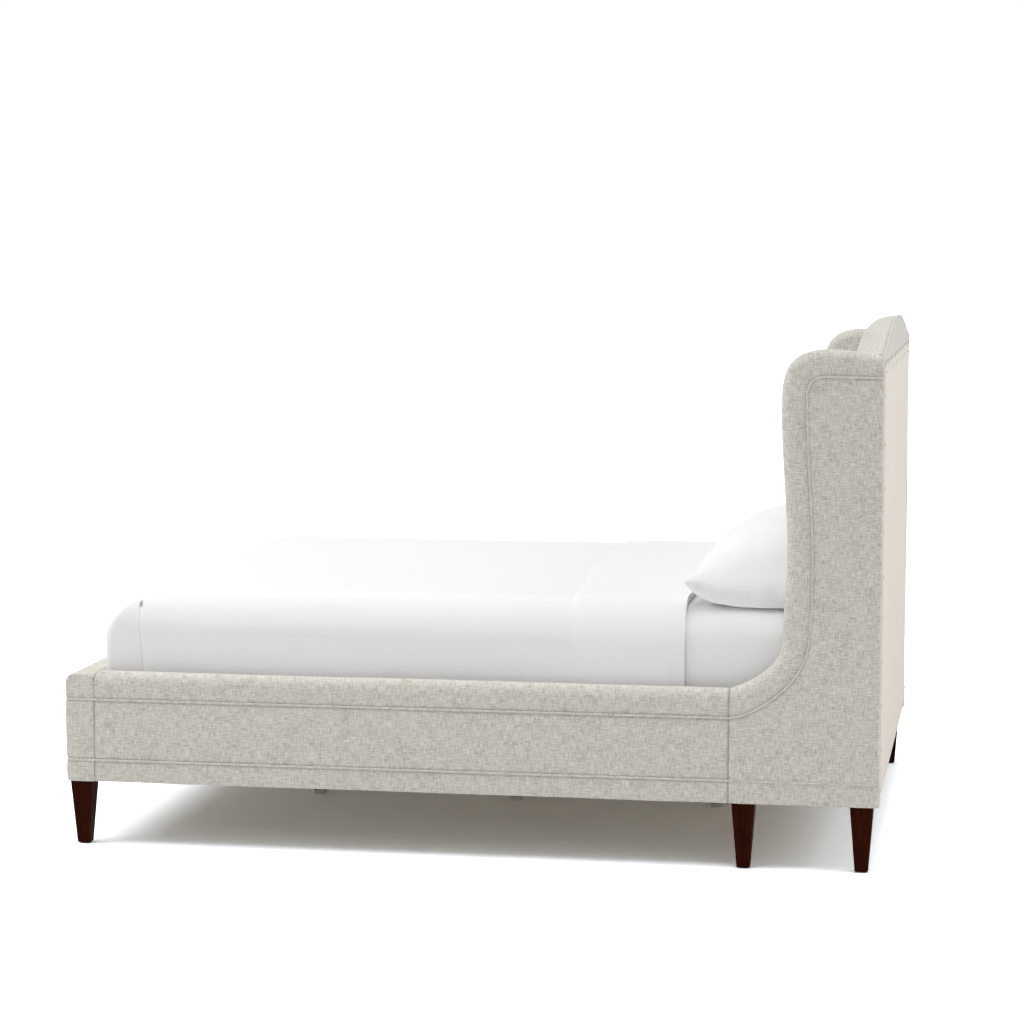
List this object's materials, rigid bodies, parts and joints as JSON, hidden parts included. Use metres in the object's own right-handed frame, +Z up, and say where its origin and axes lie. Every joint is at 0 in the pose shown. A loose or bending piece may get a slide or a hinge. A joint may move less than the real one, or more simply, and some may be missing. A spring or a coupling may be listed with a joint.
{
  "type": "upholstered bed",
  "caption": "Queen bed with an arched headboard between swept wings, low padded footboard and rails, tapered legs, slats, mattress, bedding and pillows",
  "frame": {"origin": "on the floor under the centre of the bed's length and width", "axes": "+Z up, head of the bed at +Y, foot at -Y, +X to the sleeper's side that the picture shows"},
  "size_m": [1.676, 2.2244, 1.4453],
  "materials": {
    "upholstery_fabric": "heathered linen-look weave, matt",
    "welt_fabric": "the same cloth cut on the bias over a cord",
    "muslin": "plain cream cotton, matt",
    "foam": "upholstery foam",
    "leg_wood": "dark stained, satin",
    "frame_timber": "planed softwood",
    "board": "plywood and hardboard",
    "steel": "zinc plated",
    "glide_plastic": "nylon",
    "pad_plastic": "grey nylon",
    "mattress_ticking": "quilted ticking",
    "sheet_cotton": "percale cotton",
    "coverlet_cotton": "soft brushed cotton",
    "pillow_cotton": "percale cotton over filling"
  },
  "bodies": {
    "bed_frame": {"foot_leg_right": "leg_wood", "foot_leg_left": "leg_wood", "wing_leg_right": "leg_wood", "wing_leg_left": "leg_wood", "rear_leg_right": "leg_wood", "rear_leg_left": "leg_wood", "leg_bolts": "steel", "leg_glides": "glide_plastic", "leg_blocks": "frame_timber", "foot_corner_brackets": "steel", "head_joint_plates": "steel", "joint_bolts": "steel", "rail_board_right": "frame_timber", "rail_board_left": "frame_timber", "rail_foam_right": "foam", "rail_foam_left": "foam", "rail_cover_right": "upholstery_fabric", "rail_cover_left": "upholstery_fabric", "footboard_rails": "frame_timber", "footboard_stiles": "frame_timber", "footboard_facing": "board", "footboard_foam": "foam", "footboard_cover": "upholstery_fabric", "headboard_posts": "frame_timber", "headboard_top_rail": "frame_timber", "headboard_middle_rail": "frame_timber", "headboard_bottom_rail": "frame_timber", "headboard_backing_board": "board", "headboard_foam": "foam", "headboard_cover": "upholstery_fabric", "back_border": "upholstery_fabric", "back_muslin": "muslin", "wing_panel_right": "board", "wing_panel_left": "board", "wing_foam_right": "foam", "wing_foam_left": "foam", "wing_cover_right": "upholstery_fabric", "wing_cover_left": "upholstery_fabric", "wing_welts_right": "welt_fabric", "wing_welts_left": "welt_fabric", "rail_welts_right": "welt_fabric", "rail_welts_left": "welt_fabric", "footboard_welts": "welt_fabric", "headboard_welt": "welt_fabric", "slat_ledgers": "frame_timber", "slats": "frame_timber", "centre_beam": "frame_timber", "centre_leg_bolts": "steel", "beam_hangers": "steel", "centre_legs": "frame_timber"},
    "mattress": {"mattress": "mattress_ticking", "fitted_sheet": "sheet_cotton", "coverlet": "coverlet_cotton", "coverlet_turn_down": "sheet_cotton"},
    "pillow_right": {"pillow_right": "pillow_cotton"},
    "pillow_left": {"pillow_left": "pillow_cotton"},
    "levelling_foot_1": {"levelling_foot_1": "pad_plastic"},
    "levelling_foot_2": {"levelling_foot_2": "pad_plastic"},
    "levelling_foot_3": {"levelling_foot_3": "pad_plastic"}
  },
  "joints": [
    {"name": "mattress_lift", "type": "slide", "parent": "bed_frame", "child": "mattress", "axis": [0, 0, 1], "range_m": [0, 0.5]},
    {"name": "pillow_right_lift", "type": "slide", "parent": "mattress", "child": "pillow_right", "axis": [0, 0, 1], "range_m": [0, 0.4]},
    {"name": "pillow_left_lift", "type": "slide", "parent": "mattress", "child": "pillow_left", "axis": [0, 0, 1], "range_m": [0, 0.4]},
    {"name": "levelling_foot_1_screw", "type": "slide", "parent": "bed_frame", "child": "levelling_foot_1", "axis": [0, 0, 1], "range_m": [0, 0.014]},
    {"name": "levelling_foot_2_screw", "type": "slide", "parent": "bed_frame", "child": "levelling_foot_2", "axis": [0, 0, 1], "range_m": [0, 0.014]},
    {"name": "levelling_foot_3_screw", "type": "slide", "parent": "bed_frame", "child": "levelling_foot_3", "axis": [0, 0, 1], "range_m": [0, 0.014]}
  ]
}
